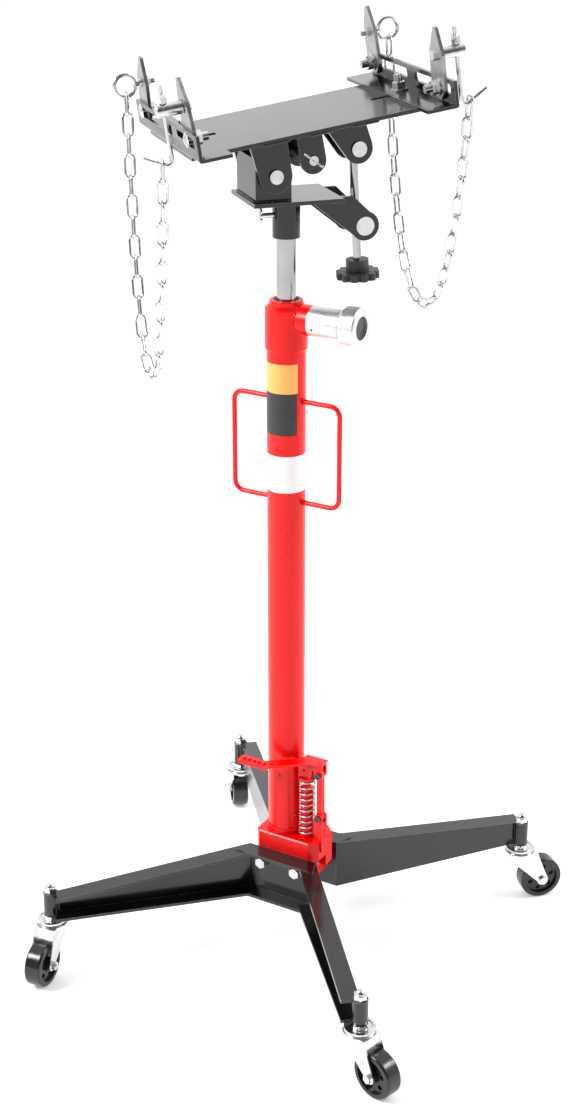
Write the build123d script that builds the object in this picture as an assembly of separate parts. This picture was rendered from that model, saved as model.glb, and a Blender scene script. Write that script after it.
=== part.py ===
from build123d import *
import os
from math import atan, cos, hypot, pi, radians, sin, sqrt, tan

os.makedirs("parts", exist_ok=True)

# Transmission jack: four leg base on swivel casters, single stage hydraulic mast,
# foot pump, and a swivelling, tilting saddle with end brackets, fingers and chains.
# Millimetres. Z is up, the floor is Z = 0 and the mast axis is X = Y = 0.
# X runs from the mast towards the pump and the release knob.

# ------------------------------------------------------------------ base and legs
BASE_X = 14.0          # centre of the leg layout, in front of the mast axis
CASTER_X = 291.0       # half spacing of the caster axes along X
CASTER_Y = 300.0       # half spacing of the caster axes along Y
BLOCK_TOP = 209.0
BLOCK_LOW = 128.0
BLOCK_HALF = 37.0      # half thickness of the base block, between the two leg frames
BLOCK_LEFT = -40.0
BLOCK_RIGHT = 76.0
BLOCK_CHAMFER = 14.0
SHEET = 5.0            # leg sheet thickness
FLANGE = 25.0          # width of the channel flanges
WEB_LOW = 92.0
WEB_HIGH = 178.0
BEND_HALF = 64.0       # half length of the straight centre part of a leg frame
FRAME_BOLT_SPAN = 66.0
FRAME_BOLT_D = 10.0
SOCKET_D = 25.0        # vertical tube at the end of each leg
SOCKET_LOW = 110.0
SOCKET_H = 43.0

# ------------------------------------------------------------------ casters
WHEEL_D = 76.0
WHEEL_W = 29.0
TRAIL = 39.0
STEM_D = 12.0
FORK_T = 2.5
RACE_D = 50.0          # swivel race under the leg end
BALL_RING = 18.5
BALLS = 14
AXLE_D = 8.0
TRAIL_AZ = {"left": -82.0, "front": -17.0, "right": 46.0, "back": 129.0}
CORNER = {"left": (-1, -1), "front": (1, -1), "right": (1, 1), "back": (-1, 1)}

# ------------------------------------------------------------------ mast
MAST_D = 61.0
MAST_WALL = 3.0
HEAD_D = 66.0
HEAD_LOW = 1050.0
HEAD_TOP = 1120.0
PRESSURE_D = 44.0
BORE_D = 36.0
RAM_D = 30.0
RAM_TOP = 1278.0
GLAND_D = 48.0
GLAND_H = 35.0
FIT = 0.05             # radial clearance of a running fit
LIFT = 800.0
HANDLE_ROD = 8.0
HANDLE_OUT = 64.0
HANDLE_LOW = 803.0
HANDLE_HIGH = 969.0

# ------------------------------------------------------------------ release knob
KNOB_Z = 1099.0
KNOB_D = 46.5
CAP_D = 62.0
BOSS_END = 46.0
CAP_START = 98.0
CAP_END = 130.0

# ------------------------------------------------------------------ pump and pedal
PUMP_X = 46.0
PUMP_Y = -10.5
BARREL_D = 22.0
BARREL_TOP = 300.0
PLUNGER_D = 14.0
STROKE_DEG = 22.0
SPRING_D = 30.0
SPRING_WIRE = 3.2
SPRING_COILS = 10
SPRING_TOP = 319.0
CLEVIS_W = 22.0
CLEVIS_D = 20.0
CLEVIS_TOP = 347.0
PIN_Z = 338.0          # plunger pin with the pedal up
FULCRUM_X = 72.0
FULCRUM_Z = 333.0
LINK_T = 9.2           # thickness of the link between the block and the pedal
LUG_Z = 252.0
PEDAL_TOP = 356.0
PEDAL_T = 3.5

# ------------------------------------------------------------------ head
HEAD_TURN = 48.6       # the head is shown turned on the ram by this angle
SADDLE_TILT = 8.5      # and the saddle is shown tilted by this angle
TUBE_D = 42.0
TUBE_LOW = 1222.0
PLATE_TOP = 1286.0
PLATE_T = 6.0
PLATE_U0 = -67.5
PLATE_U1 = 70.5
PLATE_V = 58.0
TILT_U = -33.0         # tilt pin, measured along the head from the mast axis
TILT_Z = 1323.0
TILT_PIN_D = 16.0
NUT_U = 110.0          # cross nut on the arms
NUT_Z = 1239.0
NUT_D = 28.0
ARM_V = 35.0
ARM_T = 6.0
SCREW_D = 13.0
SCREW_LOW = 1152.0
KNOB_HUB_D = 35.0
LOBE_D = 67.0

# saddle sizes are measured from the tilt pin, along and square to the saddle
RISE = 68.0            # saddle top above the tilt pin
SADDLE_T = 6.0
SADDLE_V = 114.0
SADDLE_U0 = -134.0
SADDLE_U1 = 245.0
EAR_W = 7.0            # height of the middle and right pins above the tilt pin
MID_U = 65.0
RIGHT_U = 139.5
BRACKET_V = 166.0
BRACKET_H = 38.0
BRACKET_T = 5.0
BRACKET_FOOT = 48.0
SLOT_H = 14.0
SLOT_W = 24.5          # height of the bracket slots above the saddle
SLOT_V0 = 14.0
SLOT_V1 = 152.0
FINGER_T = 5.0
FINGER_H = 84.0
FINGER_EYE = 45.0
BOLT_D = 12.0
FINGERS = {"left_back": (1, 140.0, 15.0), "left_front": (-1, -112.0, -15.0),
           "right_back": (1, 142.0, -4.0), "right_front": (-1, -118.0, 4.0)}
EYE_R = 15.8
EYE_WIRE = 6.3
EYE_STAND = 7.0        # the eye stands this far out from its finger
BAR_D = 19.0
BAR_L = 38.0
ROD_D = 6.5
HOOK_RISE = 0.53       # slope of the tail of the tension hook
CHAIN_WIRE = 4.2
CHAIN_PITCH = 30.0
CHAIN_WIDTH = 19.0
CHAIN_LINKS = {"left": 27, "right": 27}

C = Align.CENTER
LO = Align.MIN
UP = (0, 0, 1)


def bar(d, length, at=(0, 0, 0), along=UP):
    """Round bar starting at a point and running along a direction."""
    return Plane(origin=at, z_dir=along).location * Cylinder(d / 2, length, align=(C, C, LO))


def hexbar(flats, length, at=(0, 0, 0), along=UP):
    """Six sided bar, measured across the flats."""
    face = RegularPolygon(flats / 2, 6, major_radius=False)
    return Plane(origin=at, z_dir=along).location * extrude(face, amount=length)


def box(x0, x1, y0, y1, z0, z1):
    """Rectangular block between two opposite corners."""
    return Pos(x0, y0, z0) * Box(x1 - x0, y1 - y0, z1 - z0, align=(LO, LO, LO))


def prism(points, depth, origin, x_dir, z_dir):
    """Flat plate: an outline drawn on a plane and pushed along its normal."""
    plane = Plane(origin=origin, x_dir=x_dir, z_dir=z_dir)
    face = make_face(Polyline(*points, close=True))
    return extrude(plane * face, amount=depth)


def upright(points, y0, y1):
    """Plate standing in the XZ plane between two values of Y."""
    return prism(points, y1 - y0, (0, y1, 0), (1, 0, 0), (0, -1, 0))


def flat(points, z0, z1):
    """Plate lying flat between two heights."""
    return prism(points, z1 - z0, (0, 0, z0), (1, 0, 0), UP)


def one(shape):
    """The single solid of a finished piece."""
    solids = shape.solids()
    if len(solids) != 1:
        raise ValueError(f"{len(solids)} solids in a single piece")
    return solids[0]


def save(name, *shapes):
    """Write one node; several loose solids go out as one group."""
    solids = [one(shape) for shape in shapes]
    whole = solids[0] if len(solids) == 1 else Compound(children=solids)
    export_step(whole, f"parts/{name}.step")


def head(shape):
    """Place a piece drawn along the head into the turned head."""
    return Rot(0, 0, HEAD_TURN) * shape


def saddle(shape):
    """Place a piece drawn from the tilt pin into the turned and tilted saddle."""
    return Rot(0, 0, HEAD_TURN) * (Pos(TILT_U, 0, TILT_Z) * (Rot(0, -SADDLE_TILT, 0) * shape))


# ================================================================== base block
bolt_x = [BASE_X - 4 - FRAME_BOLT_SPAN / 2, BASE_X - 4 + FRAME_BOLT_SPAN / 2]
bolt_z = (WEB_LOW + BLOCK_TOP) / 2 + 2
seat = BLOCK_TOP - 10
well = BLOCK_TOP - 19
plan = [(BLOCK_LEFT + 8, -BLOCK_HALF), (BLOCK_RIGHT - BLOCK_CHAMFER, -BLOCK_HALF),
        (BLOCK_RIGHT, -BLOCK_HALF + BLOCK_CHAMFER), (BLOCK_RIGHT, BLOCK_HALF - BLOCK_CHAMFER),
        (BLOCK_RIGHT - BLOCK_CHAMFER, BLOCK_HALF), (BLOCK_LEFT + 8, BLOCK_HALF),
        (BLOCK_LEFT, BLOCK_HALF - 8), (BLOCK_LEFT, -BLOCK_HALF + 8)]
block = flat(plan, BLOCK_LOW, BLOCK_TOP)
block = chamfer(block.faces().sort_by(Axis.Z)[-1].edges(), 2.0)
lug_r = 7.5
lug_half = LINK_T / 2 + 4.0
lug = box(FULCRUM_X - lug_r, FULCRUM_X + lug_r, PUMP_Y - lug_half, PUMP_Y + lug_half, BLOCK_TOP - 20, LUG_Z)
lug += bar(2 * lug_r, 2 * lug_half, (FULCRUM_X, PUMP_Y + lug_half, LUG_Z), (0, -1, 0))
link_half = LINK_T / 2 + 0.1
lug -= box(FULCRUM_X - 20, FULCRUM_X + 20, PUMP_Y - link_half, PUMP_Y + link_half, LUG_Z - 9, LUG_Z + 20)
block += lug
block -= bar(MAST_D + 4 * FIT, 40, (0, 0, seat))
block -= bar(PRESSURE_D + 4 * FIT, 40, (0, 0, seat - 14))
block -= bar(BARREL_D + 4 * FIT, 40, (PUMP_X, PUMP_Y, well))
chamber_low = BLOCK_LOW + 22
block -= bar(PLUNGER_D + 4, well - chamber_low + 1, (PUMP_X, PUMP_Y, chamber_low))
# pressure gallery from the pump chamber to the foot of the pressure cylinder
block -= bar(6, PUMP_X - 6, (6, PUMP_Y, chamber_low + 8), (1, 0, 0))
block -= bar(8, seat - 13 - chamber_low - 8, (8, PUMP_Y, chamber_low + 8))
# oil return from the reservoir, closed below the chamber by the suction ball
block -= bar(6, seat - chamber_low + 8, (-26, 0, chamber_low - 8))
block -= bar(6, PUMP_X + 26, (-26, 0, chamber_low - 8), (1, 0, 0))
block -= bar(6, 18, (PUMP_X, PUMP_Y, chamber_low - 11))
block -= box(PUMP_X - 3, PUMP_X + 3, PUMP_Y, 0, chamber_low - 11, chamber_low - 5)
# notch at the foot of the pump end, with the tapped hole of the drain plug
end_low = BLOCK_LOW + 24
notch_z = BLOCK_LOW + 46
block -= box(BLOCK_RIGHT - 16, BLOCK_RIGHT + 1, -BLOCK_HALF - 1, BLOCK_HALF + 1, BLOCK_LOW - 1, end_low)
block -= box(BLOCK_RIGHT - 16, BLOCK_RIGHT + 1, -24, 2, BLOCK_LOW - 1, notch_z)
drain = (BLOCK_RIGHT - 16, -12, BLOCK_LOW + 34)
block -= bar(10, 4.2, drain, (-1, 0, 0))
for x in bolt_x:
    for side in (-1, 1):
        block -= bar(FRAME_BOLT_D + 2 * FIT, 20, (x, side * (BLOCK_HALF + 1), bolt_z), (0, -side, 0))
block -= bar(8 + 2 * FIT, 40, (FULCRUM_X, PUMP_Y + 20, LUG_Z), (0, -1, 0))
block -= bar(8, 9, (BLOCK_LEFT + 12, BLOCK_HALF - 12, BLOCK_TOP - 8))
save("base_block", block)

drain_plug = hexbar(13, 7, (drain[0] + 0.2, drain[1], drain[2]), (1, 0, 0))
drain_plug += bar(9.8, 4.0, (drain[0] + 0.2, drain[1], drain[2]), (-1, 0, 0))
filler = hexbar(11, 5, (BLOCK_LEFT + 12, BLOCK_HALF - 12, BLOCK_TOP + 0.1))
filler += bar(7.8, 7.5, (BLOCK_LEFT + 12, BLOCK_HALF - 12, BLOCK_TOP - 7.2))
save("block_plugs", drain_plug, filler)

ball_r = 4.5
suction_ball = Pos(PUMP_X, PUMP_Y, chamber_low + sqrt(ball_r ** 2 - 9) + 0.3) * Sphere(ball_r)
cage = bar(8.4, 2, (PUMP_X, PUMP_Y, chamber_low + 11.0))
cage += bar(PLUNGER_D + 3.9, 1.5, (PUMP_X, PUMP_Y, chamber_low + 12.0))
cage -= bar(3, 6, (PUMP_X, PUMP_Y, chamber_low + 9))
save("suction_valve", suction_ball, cage)

# ================================================================== leg frames
post_y = CASTER_Y


def leg_frame(side):
    """Folded channel: straight centre part and two legs that taper to the casters."""
    y_in = side * BLOCK_HALF
    y_out = side * (BLOCK_HALF + SHEET)
    x0 = BASE_X - BEND_HALF
    x1 = BASE_X + BEND_HALF
    shape = box(x0, x1, min(y_in, y_out), max(y_in, y_out), WEB_LOW, WEB_HIGH)
    y_fl = side * (BLOCK_HALF + SHEET + FLANGE)
    for z in (WEB_LOW, WEB_HIGH - SHEET):
        pts = [(x0, y_in), (x1, y_in), (x1 + FLANGE * 0.45, y_fl), (x0 - FLANGE * 0.45, y_fl)]
        if side < 0:
            pts = list(reversed(pts))
        shape += flat(pts, z, z + SHEET)
    for end in (-1, 1):
        bx = BASE_X + end * BEND_HALF
        px = BASE_X + end * CASTER_X
        run = hypot(px - bx, post_y - BLOCK_HALF)
        dx = (px - bx) / run
        dy = side * (post_y - BLOCK_HALF) / run
        # the web stands on the line from the bend to the caster axis
        nx = -dy * end * side
        ny = dx * end * side
        web = [(-1.0, WEB_LOW), (run, SOCKET_LOW + 1), (run, SOCKET_LOW + SOCKET_H - 1), (-1.0, WEB_HIGH)]
        origin = (bx, y_in, 0)
        grow = prism(web, SHEET, origin, (dx, dy, 0), (dy, -dx, 0))
        if (grow.center().X - bx) * nx + (grow.center().Y - y_in) * ny < 0:
            grow = prism(web, -SHEET, origin, (dx, dy, 0), (dy, -dx, 0))
        shape += grow
        slope_low = (SOCKET_LOW + 1 - WEB_LOW) / run
        slope_high = (WEB_HIGH - SOCKET_LOW - SOCKET_H + 1) / run
        low = [(-1.0, WEB_LOW), (run, WEB_LOW + slope_low * run), (run, WEB_LOW + slope_low * run + SHEET),
               (-1.0, WEB_LOW + SHEET)]
        high = [(-1.0, WEB_HIGH), (run, WEB_HIGH - slope_high * run),
                (run, WEB_HIGH - slope_high * run - SHEET), (-1.0, WEB_HIGH - SHEET)]
        sign = 1 if (dy * nx - dx * ny) > 0 else -1
        for strip in (low, high):
            shape += prism(strip, sign * (FLANGE + SHEET), origin, (dx, dy, 0), (dy, -dx, 0))
        shape -= bar(SOCKET_D + 0.2, 400, (px, side * post_y, 0))
        keep = Plane(origin=(px, side * post_y, 0), x_dir=(dx, dy, 0), z_dir=UP).location
        shape -= keep * box(-1, 80, -80, 80, 0, 400)
    for x in bolt_x:
        shape -= bar(FRAME_BOLT_D + 0.2, 20, (x, side * (BLOCK_HALF - 5), bolt_z), (0, side, 0))
    return shape


save("leg_frame_front", leg_frame(-1))
save("leg_frame_rear", leg_frame(1))

washers = []
bolts = []
for side in (-1, 1):
    for x in bolt_x:
        face = side * (BLOCK_HALF + SHEET)
        ring = bar(24, 2.4, (x, face, bolt_z), (0, side, 0))
        ring -= bar(FRAME_BOLT_D + 0.4, 3, (x, face, bolt_z), (0, side, 0))
        washers.append(ring)
        start = face + side * 2.5
        head_part = hexbar(17, 6.5, (x, start, bolt_z), (0, side, 0))
        head_part += bar(FRAME_BOLT_D, SHEET + 2.5 + 15, (x, start, bolt_z), (0, -side, 0))
        bolts.append(head_part)
save("frame_washers", *washers)
save("frame_bolts", *bolts)

# ================================================================== casters
sockets = []
stems = []
nuts = []
race_top = SOCKET_LOW - 9
fork_top = race_top - 6.5
wheel_r = WHEEL_D / 2
for name, (sx, sy) in CORNER.items():
    px = BASE_X + sx * CASTER_X
    py = sy * CASTER_Y
    tube = bar(SOCKET_D, SOCKET_H, (px, py, SOCKET_LOW))
    tube -= bar(STEM_D + 0.3, SOCKET_H + 2, (px, py, SOCKET_LOW - 1))
    sockets.append(tube)
    stem = bar(STEM_D, SOCKET_H + 18, (px, py, SOCKET_LOW - 8))
    stem += hexbar(21, 6, (px, py, SOCKET_LOW - 6.1))
    stem += bar(RACE_D, 3.4, (px, py, race_top))
    stem -= bar(RACE_D - 10, 3, (px, py, race_top + 2)) - bar(26, 9, (px, py, race_top - 1))
    stem += bar(15, 4.2, (px, py, race_top - 4))
    stem += bar(10, 12.0, (px, py, race_top - 15))
    stem += bar(20, 2.5, (px, py, race_top - 17.4))
    groove = Pos(px, py, race_top - 1.6) * Torus(BALL_RING, 2.1)
    stem -= groove
    stems.append(stem)
    for k in range(BALLS):
        ang = 2 * pi * k / BALLS
        ball = Pos(px + BALL_RING * cos(ang), py + BALL_RING * sin(ang), race_top - 1.6) * Sphere(1.95)
        stems.append(ball)
    dome = hexbar(19, 9, (px, py, SOCKET_LOW + SOCKET_H + 0.2))
    dome += Pos(px, py, SOCKET_LOW + SOCKET_H + 9) * Sphere(8.2)
    dome &= bar(40, 40, (px, py, SOCKET_LOW + SOCKET_H + 0.2))
    dome -= bar(STEM_D + 0.2, 11, (px, py, SOCKET_LOW + SOCKET_H - 1))
    nuts.append(dome)
    # swivelling fork, drawn with the wheel behind the stem and then turned
    half = WHEEL_W / 2 + 2.2
    crown = race_top - 6.2 + FORK_T
    fork_front = -21.0
    fork_back = 27.0
    top = bar(RACE_D + 3, FORK_T, (0, 0, crown - FORK_T))
    top += bar(RACE_D - 2, 1.6, (0, 0, crown - 0.2))
    top += box(fork_front, fork_back, -half - FORK_T, half + FORK_T, crown - FORK_T, crown)
    top -= bar(16.5, 9, (0, 0, race_top - 9))
    top -= Pos(0, 0, race_top - 1.6) * Torus(BALL_RING, 2.1)
    side_pts = [(fork_front, crown), (fork_front + 1, crown - 14), (TRAIL - 9.5, wheel_r - 2),
                (TRAIL, wheel_r - 2),
                (TRAIL + 9.5, wheel_r + 2), (fork_back + 5, crown - 16), (fork_back, crown)]
    for y0 in (-half - FORK_T, half):
        top += upright(side_pts, y0, y0 + FORK_T)
        top += bar(20, FORK_T, (TRAIL, y0 + FORK_T, wheel_r), (0, -1, 0))
    top -= bar(AXLE_D + 0.1, 80, (TRAIL, 40, wheel_r), (0, -1, 0))
    axle = bar(AXLE_D, WHEEL_W + 4.4 + 2 * FORK_T + 9, (TRAIL, -half - FORK_T - 0.1, wheel_r), (0, 1, 0))
    axle += hexbar(13, 5, (TRAIL, -half - FORK_T - 0.1, wheel_r), (0, -1, 0))
    nut = hexbar(13, 6.5, (TRAIL, half + FORK_T + 0.1, wheel_r), (0, 1, 0))
    nut -= bar(AXLE_D + 0.1, 20, (TRAIL, 0, wheel_r), (0, 1, 0))
    wheel = bar(WHEEL_D, WHEEL_W, (TRAIL, -WHEEL_W / 2, wheel_r), (0, 1, 0))
    wheel = fillet(wheel.edges().filter_by(GeomType.CIRCLE), 4.0)
    for side in (-1, 1):
        face = (TRAIL, side * WHEEL_W / 2, wheel_r)
        dish = bar(WHEEL_D - 18, 5, face, (0, -side, 0)) - bar(24, 5, face, (0, -side, 0))
        wheel -= dish
    for k in range(6):
        ang = 2 * pi * k / 6 + 0.3
        wheel -= bar(8.5, 60, (TRAIL + 20.5 * cos(ang), -30, wheel_r + 20.5 * sin(ang)), (0, 1, 0))
    wheel -= bar(AXLE_D + 2 * FIT, 60, (TRAIL, -30, wheel_r), (0, 1, 0))
    place = Pos(px, py, 0) * Rot(0, 0, TRAIL_AZ[name])
    save(f"caster_fork_{name}", place * top, place * axle, place * nut)
    save(f"caster_wheel_{name}", place * wheel)
save("caster_sockets", *sockets)
save("caster_stems", *stems, *nuts)

# ================================================================== mast
tube_top = HEAD_LOW + 10
reservoir = bar(MAST_D, tube_top - seat - 0.2, (0, 0, seat + 0.1))
reservoir -= bar(MAST_D - 2 * MAST_WALL, 2000, (0, 0, 0))
save("reservoir_tube", reservoir)

gland_low = HEAD_TOP - GLAND_H
cylinder_low = seat - 14 + 0.1
pressure = bar(PRESSURE_D, gland_low - 0.2 - cylinder_low, (0, 0, cylinder_low))
pressure -= bar(BORE_D, 2000, (0, 0, cylinder_low + 6))
pressure -= bar(8, 20, (8, PUMP_Y, cylinder_low - 5))
save("pressure_cylinder", pressure)

collar = bar(HEAD_D, HEAD_TOP - HEAD_LOW, (0, 0, HEAD_LOW))
collar = chamfer(collar.edges().sort_by(Axis.Z)[-1:], 6.0)
collar = chamfer(collar.edges().sort_by(Axis.Z)[:1], 1.5)
collar += bar(KNOB_D, BOSS_END, (0, 0, KNOB_Z), (1, 0, 0))
collar -= bar(MAST_D + 4 * FIT, tube_top - HEAD_LOW + 1, (0, 0, HEAD_LOW - 1))
collar -= bar(PRESSURE_D + 4 * FIT, 200, (0, 0, HEAD_LOW))
collar -= bar(GLAND_D + 4 * FIT, 200, (0, 0, gland_low))
collar -= bar(54, 20, (0, 0, HEAD_TOP))
spindle_d = 10.0
collar -= bar(spindle_d + 2 * FIT, 60, (GLAND_D / 2 + 2, 0, KNOB_Z), (1, 0, 0))
# the release port drops from the spindle to the reservoir space round the cylinder
collar -= bar(5, KNOB_Z - HEAD_LOW - 8, (GLAND_D / 2 + 4.3, 0, HEAD_LOW + 8))
save("mast_head", collar)

gland = bar(GLAND_D, GLAND_H + 1, (0, 0, gland_low + 0.1))
gland += bar(52, 7, (0, 0, HEAD_TOP + 0.1))
gland = chamfer(gland.edges().sort_by(Axis.Z)[-1:], 1.5)
gland -= bar(RAM_D + 2 * FIT, 100, (0, 0, gland_low))
gland -= bar(40, 10, (0, 0, HEAD_TOP + 1))
gland -= bar(36, 6, (0, 0, gland_low + 12))
save("gland_nut", gland)
wiper = bar(39.9, 5.8, (0, 0, HEAD_TOP + 1.1)) - bar(RAM_D + 0.1, 20, (0, 0, HEAD_TOP))
rod_seal = bar(35.9, 5.8, (0, 0, gland_low + 12.1)) - bar(RAM_D + 0.1, 20, (0, 0, gland_low))

ram_foot = cylinder_low + 20
piston_h = 40.0
ram = bar(RAM_D, RAM_TOP - ram_foot - 8, (0, 0, ram_foot + 8))
ram += bar(18, 30, (0, 0, ram_foot))
ram = chamfer(ram.edges().sort_by(Axis.Z)[-1:], 1.0)
save("ram", ram)
piston = bar(BORE_D - 4 * FIT, piston_h, (0, 0, ram_foot + 0.5))
piston -= bar(18.1, 60, (0, 0, ram_foot - 5))
piston -= bar(RAM_D + 0.1, 60, (0, 0, ram_foot + 7.9))
for z in (ram_foot + 1.9, ram_foot + 24):
    piston -= bar(BORE_D + 2, 4, (0, 0, z)) - bar(BORE_D - 3, 4, (0, 0, z))
save("piston", piston)
rings = []
for z in (ram_foot + 1.9, ram_foot + 24):
    ring = bar(BORE_D - 0.1, 3.8, (0, 0, z + 0.1)) - bar(BORE_D - 2.9, 3.8, (0, 0, z + 0.1))
    rings.append(ring)
save("piston_rings", *rings)

grips = []
for side in (-1, 1):
    inner = side * (MAST_D / 2 - 0.4)
    outer = side * (MAST_D / 2 + HANDLE_OUT)
    path = FilletPolyline((inner, 0, HANDLE_HIGH), (outer, 0, HANDLE_HIGH), (outer, 0, HANDLE_LOW),
                          (inner, 0, HANDLE_LOW), radius=16)
    ring = sweep(Plane(origin=(inner, 0, HANDLE_HIGH), z_dir=(side, 0, 0)) * Circle(HANDLE_ROD / 2), path)
    ring -= bar(MAST_D + 0.1, 400, (0, 0, HANDLE_LOW - 100))
    grips.append(ring)
save("carry_handles", *grips)

# ================================================================== release knob
knob = bar(KNOB_D, CAP_START + 2 - BOSS_END - 0.5, (BOSS_END + 0.5, 0, KNOB_Z), (1, 0, 0))
knob -= bar(spindle_d + 0.2, 60, (BOSS_END - 1, 0, KNOB_Z), (1, 0, 0))
knob -= bar(4.2, 30, (BOSS_END + 8, 0, KNOB_Z), (0.1, -1, -0.35))
cap = bar(CAP_D, CAP_END - CAP_START, (CAP_START, 0, KNOB_Z), (1, 0, 0))
cap = chamfer(cap.edges().sort_by(Axis.X)[-1:], 2.5)
cap = chamfer(cap.edges().sort_by(Axis.X)[:1], 7.5)
knob += cap
knob -= bar(36, 20, (CAP_END - 7, 0, KNOB_Z), (1, 0, 0))
knob -= bar(spindle_d + 0.2, CAP_END - 17 - BOSS_END, (BOSS_END, 0, KNOB_Z), (1, 0, 0))
save("release_knob", knob)
disc = bar(35.6, 3, (CAP_END - 6.9, 0, KNOB_Z), (1, 0, 0))
disc = chamfer(disc.edges().sort_by(Axis.X)[-1:], 0.6)
save("knob_insert", disc)
spindle = bar(spindle_d, CAP_END - 18 - GLAND_D / 2 - 8, (GLAND_D / 2 + 8, 0, KNOB_Z), (1, 0, 0))
needle = Cone(1.0, spindle_d / 2, 5, align=(C, C, LO))
spindle += Plane(origin=(GLAND_D / 2 + 3.2, 0, KNOB_Z), z_dir=(1, 0, 0)).location * needle
grub_at = Vector(BOSS_END + 8, 0, KNOB_Z)
grub_dir = Vector(0.1, -1, -0.35).normalized()
grub = bar(4.0, 8, tuple(grub_at + grub_dir * (spindle_d / 2 + 0.3)), tuple(grub_dir))
save("release_spindle", spindle, grub)

# ================================================================== pump
barrel = bar(BARREL_D, BARREL_TOP - well - 0.2, (PUMP_X, PUMP_Y, well + 0.1))
barrel -= bar(PLUNGER_D + 2 * FIT, 400, (PUMP_X, PUMP_Y, 0))
barrel -= bar(17.8, 5, (PUMP_X, PUMP_Y, BARREL_TOP - 9))
save("pump_barrel", barrel)
cup = bar(17.6, 4.8, (PUMP_X, PUMP_Y, BARREL_TOP - 8.9))
cup -= bar(PLUNGER_D + 0.1, 9, (PUMP_X, PUMP_Y, BARREL_TOP - 9))
save("oil_seals", wiper, rod_seal, cup)

plunger = bar(PLUNGER_D, SPRING_TOP - well - 22, (PUMP_X, PUMP_Y, well + 24))
plunger += bar(SPRING_D, 4, (PUMP_X, PUMP_Y, SPRING_TOP))
cx0 = PUMP_X - CLEVIS_W / 2
clevis = box(cx0, cx0 + CLEVIS_W, PUMP_Y - CLEVIS_D / 2, PUMP_Y + CLEVIS_D / 2, SPRING_TOP + 2, CLEVIS_TOP)
clevis -= box(cx0 - 1, cx0 + CLEVIS_W + 1, PUMP_Y - 4.4, PUMP_Y + 4.4, SPRING_TOP + 8, CLEVIS_TOP + 1)
clevis -= bar(8.1, 60, (PUMP_X, PUMP_Y + 30, PIN_Z), (0, -1, 0))
plunger += clevis
pin = bar(8, CLEVIS_D + 0.8, (PUMP_X, PUMP_Y + CLEVIS_D / 2 + 0.4, PIN_Z), (0, -1, 0))
pin -= Pos(PUMP_X, PUMP_Y - CLEVIS_D / 2, PIN_Z) * Box(5, 6, 5)
save("pump_plunger", plunger, pin)

coil_low = BLOCK_TOP + 0.3 + SPRING_WIRE / 2
coil_high = SPRING_TOP - 0.3 - SPRING_WIRE / 2
coil_r = (SPRING_D - SPRING_WIRE) / 2
helix = Helix(pitch=(coil_high - coil_low) / SPRING_COILS, height=coil_high - coil_low, radius=coil_r)
wire = sweep(Plane(origin=helix @ 0, z_dir=helix % 0) * Circle(SPRING_WIRE / 2), helix, is_frenet=True)
save("return_spring", Pos(PUMP_X, PUMP_Y, coil_low) * wire)

outline = [(FULCRUM_X - 5, LUG_Z), (FULCRUM_X + 5, LUG_Z), (FULCRUM_X + 5, FULCRUM_Z),
           (FULCRUM_X - 5, FULCRUM_Z)]
lever_link = upright(outline, PUMP_Y - LINK_T / 2, PUMP_Y + LINK_T / 2)
for z in (LUG_Z, FULCRUM_Z):
    lever_link += bar(13, LINK_T, (FULCRUM_X, PUMP_Y + LINK_T / 2, z), (0, -1, 0))
for z in (LUG_Z, FULCRUM_Z):
    lever_link -= bar(8.1, LINK_T + 4, (FULCRUM_X, PUMP_Y + LINK_T / 2 + 2, z), (0, -1, 0))
save("lever_link", lever_link)
pin_half = LINK_T / 2 + 6.0
pins = []
for z in (LUG_Z, FULCRUM_Z):
    lever_pin = bar(8, 2 * pin_half, (FULCRUM_X, PUMP_Y + pin_half, z), (0, -1, 0))
    lever_pin += bar(11, 3, (FULCRUM_X, PUMP_Y - pin_half + 1, z), (0, -1, 0))
    pins.append(lever_pin)
save("lever_pins", *pins)

pad = [(-52, -71), (4, -71), (58, -26), (79, -22), (79, 1), (39.5, 1), (39.5, -8), (33, -20), (-8, -53),
       (-52, -53)]
pad = [(x * PUMP_X / 46.0, y * MAST_D / 61.0) for x, y in pad]
pedal = flat(pad, PEDAL_TOP - PEDAL_T, PEDAL_TOP)
skirt = [pad[0], pad[1], (pad[1][0] - 2, pad[1][1] + 4), (pad[0][0], pad[0][1] + 4)]
pedal += flat(skirt, PEDAL_TOP - PEDAL_T - 4, PEDAL_TOP)
tongue = [(PUMP_X - 9.5, PIN_Z - 3), (PUMP_X - 6, PIN_Z - 8.5), (PUMP_X + 6, PIN_Z - 8.5),
          (PUMP_X + 9.5, PIN_Z - 3),
          (PUMP_X + 9.5, PEDAL_TOP - 2), (PUMP_X - 9.5, PEDAL_TOP - 2)]
pedal += upright(tongue, PUMP_Y - 4, PUMP_Y + 4)
slot = box(PUMP_X - 1.6, PUMP_X + 1.6, PUMP_Y - 9, PUMP_Y + 9, PIN_Z - 4.3, PIN_Z + 4.3)
for shift in (-1.6, 1.6):
    slot += bar(8.6, 18, (PUMP_X + shift, PUMP_Y + 9, PIN_Z), (0, -1, 0))
pedal -= slot
cheek = [(FULCRUM_X - 13, PEDAL_TOP - 2), (FULCRUM_X + 6, PEDAL_TOP - 2), (FULCRUM_X + 7, FULCRUM_Z + 8),
         (FULCRUM_X + 7, FULCRUM_Z), (FULCRUM_X - 7, FULCRUM_Z), (FULCRUM_X - 13, FULCRUM_Z + 12)]
for side in (-1, 1):
    y0 = PUMP_Y + side * (LINK_T / 2 + 2.2)
    pedal += upright(cheek, y0 - 2, y0 + 2)
    pedal += bar(14, 4, (FULCRUM_X, y0 + 2, FULCRUM_Z), (0, -1, 0))
pedal -= bar(8 + 4 * FIT, 60, (FULCRUM_X, PUMP_Y + 30, FULCRUM_Z), (0, -1, 0))
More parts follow.
